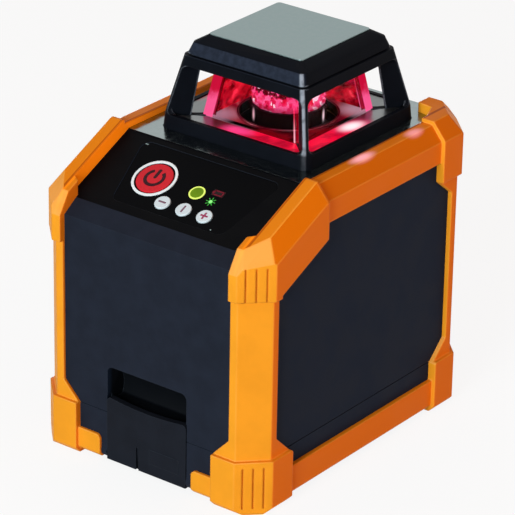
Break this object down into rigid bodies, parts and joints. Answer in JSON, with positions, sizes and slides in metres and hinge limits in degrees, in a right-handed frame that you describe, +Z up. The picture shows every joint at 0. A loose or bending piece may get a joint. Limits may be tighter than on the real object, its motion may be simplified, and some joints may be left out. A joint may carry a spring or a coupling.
{
  "type": "rotary laser level",
  "caption": "Rotary laser level: black faceted housing in orange rubber bumpers, sloped key panel, glazed tower with a motor-levelled spinning laser head, hinged battery door.",
  "frame": {"origin": "on the ground under the middle of the bumpers' outline", "axes": "+X to the right of someone facing the key panel, +Y to the back, +Z up"},
  "size_m": [0.125, 0.1594, 0.18],
  "materials": {
    "housing_black": "fine matt moulding texture",
    "bumper_orange": "soft satin rubber",
    "satin_metal": "brushed satin",
    "panel_film": "gloss",
    "key_red": "gloss",
    "key_white": "satin",
    "lens_yellow_green": "translucent gloss",
    "lens_red": "translucent gloss",
    "lens_green": "translucent gloss",
    "clear_glass": "polished",
    "board_green": "solder mask",
    "component_black": "moulded",
    "machined_aluminium": "turned",
    "steel": "bright",
    "brass": "turned",
    "black_rubber": "matt",
    "cell_blue": "shrink sleeve"
  },
  "bodies": {
    "housing": {"base_tray": "housing_black", "body_shell": "housing_black", "left_bumper": "bumper_orange", "right_bumper": "bumper_orange", "deck_plate": "satin_metal", "base_screws": "steel", "tripod_insert": "brass", "panel_overlay": "panel_film", "power_ring": "key_white", "status_lens": "lens_yellow_green", "battery_lens": "lens_red", "led_lens": "lens_green", "keypad_board": "board_green", "key_switches": "component_black", "panel_lamps": "key_white", "board_screws": "steel", "tower_frame": "housing_black", "tower_cap": "housing_black", "roof_plate": "satin_metal", "sill_plates": "satin_metal", "window_panes": "clear_glass", "pane_gasket": "black_rubber", "inner_deck": "satin_metal", "well_ring": "component_black", "tower_screws": "steel", "guide_rods": "steel", "levelling_motors": "steel", "lever_brackets": "machined_aluminium", "chassis": "machined_aluminium", "ring_pins": "steel", "chassis_screws": "steel", "main_board": "board_green", "battery_pack": "cell_blue", "battery_contacts": "brass", "door_pin": "steel"},
    "gimbal": {"gimbal_ring": "machined_aluminium"},
    "carriage": {"laser_tube": "machined_aluminium", "tube_pins": "steel", "laser_module": "brass", "collimator_lens": "clear_glass", "spindle_bearings": "steel", "spin_motor": "steel", "drive_belt": "black_rubber", "level_sensors": "component_black"},
    "rotor": {"rotor_hub": "component_black", "rotor_drum": "clear_glass", "pentaprism": "clear_glass"},
    "motor_wheel": {"motor_pulley": "brass"},
    "pitch_slider": {"pitch_nut": "brass"},
    "pitch_spindle": {"pitch_screw": "steel"},
    "roll_slider": {"roll_nut": "brass"},
    "roll_spindle": {"roll_screw": "steel"},
    "power_key": {"power_button": "key_red"},
    "minus_key": {"minus_button": "key_white"},
    "mode_key": {"mode_button": "key_white"},
    "plus_key": {"plus_button": "key_white"},
    "door": {"battery_door": "housing_black"}
  },
  "joints": [
    {"name": "tilt_pitch", "type": "hinge", "parent": "housing", "child": "gimbal", "pos_m": [0, 0.0215, 0.096], "axis": [1, 0, 0], "range_deg": [-4, 4]},
    {"name": "tilt_roll", "type": "hinge", "parent": "gimbal", "child": "carriage", "pos_m": [0, 0.0215, 0.096], "axis": [0, 1, 0], "range_deg": [-4, 4]},
    {"name": "head_spin", "type": "hinge", "parent": "carriage", "child": "rotor", "pos_m": [0, 0.0215, 0.106], "axis": [0, 0, 1], "continuous": true},
    {"name": "motor_spin", "type": "hinge", "parent": "carriage", "child": "motor_wheel", "pos_m": [0, 0.0435, 0.125], "axis": [0, 0, 1], "continuous": true},
    {"name": "pitch_nut_slide", "type": "slide", "parent": "housing", "child": "pitch_slider", "axis": [0, 0, 1], "range_m": [-0.0024, 0.0024]},
    {"name": "pitch_screw_turn", "type": "hinge", "parent": "housing", "child": "pitch_spindle", "pos_m": [0, -0.0225, 0.096], "axis": [0, 0, 1], "range_deg": [-870, 870]},
    {"name": "roll_nut_slide", "type": "slide", "parent": "housing", "child": "roll_slider", "axis": [0, 0, 1], "range_m": [-0.0024, 0.0024]},
    {"name": "roll_screw_turn", "type": "hinge", "parent": "housing", "child": "roll_spindle", "pos_m": [0.044, 0.0215, 0.108], "axis": [0, 0, 1], "range_deg": [-870, 870]},
    {"name": "power_press", "type": "slide", "parent": "housing", "child": "power_key", "axis": [0, 0.4199, -0.9076], "range_m": [0, 0.0006], "stiffness_N_per_m": 400},
    {"name": "minus_press", "type": "slide", "parent": "housing", "child": "minus_key", "axis": [0, 0.4199, -0.9076], "range_m": [0, 0.0006], "stiffness_N_per_m": 400},
    {"name": "mode_press", "type": "slide", "parent": "housing", "child": "mode_key", "axis": [0, 0.4199, -0.9076], "range_m": [0, 0.0006], "stiffness_N_per_m": 400},
    {"name": "plus_press", "type": "slide", "parent": "housing", "child": "plus_key", "axis": [0, 0.4199, -0.9076], "range_m": [0, 0.0006], "stiffness_N_per_m": 400},
    {"name": "door_swing", "type": "hinge", "parent": "housing", "child": "door", "pos_m": [0, -0.0739, 0.0054], "axis": [1, 0, 0], "range_deg": [0, 90]}
  ],
  "couplings": [
    {"joint": "motor_spin", "follows": "head_spin", "ratio": 2.3333},
    {"joint": "pitch_nut_slide", "follows": "tilt_pitch", "m_per_rad": -0.034},
    {"joint": "pitch_screw_turn", "follows": "tilt_pitch", "ratio": 213.63},
    {"joint": "roll_nut_slide", "follows": "tilt_roll", "m_per_rad": -0.034},
    {"joint": "roll_screw_turn", "follows": "tilt_roll", "ratio": 213.63}
  ]
}
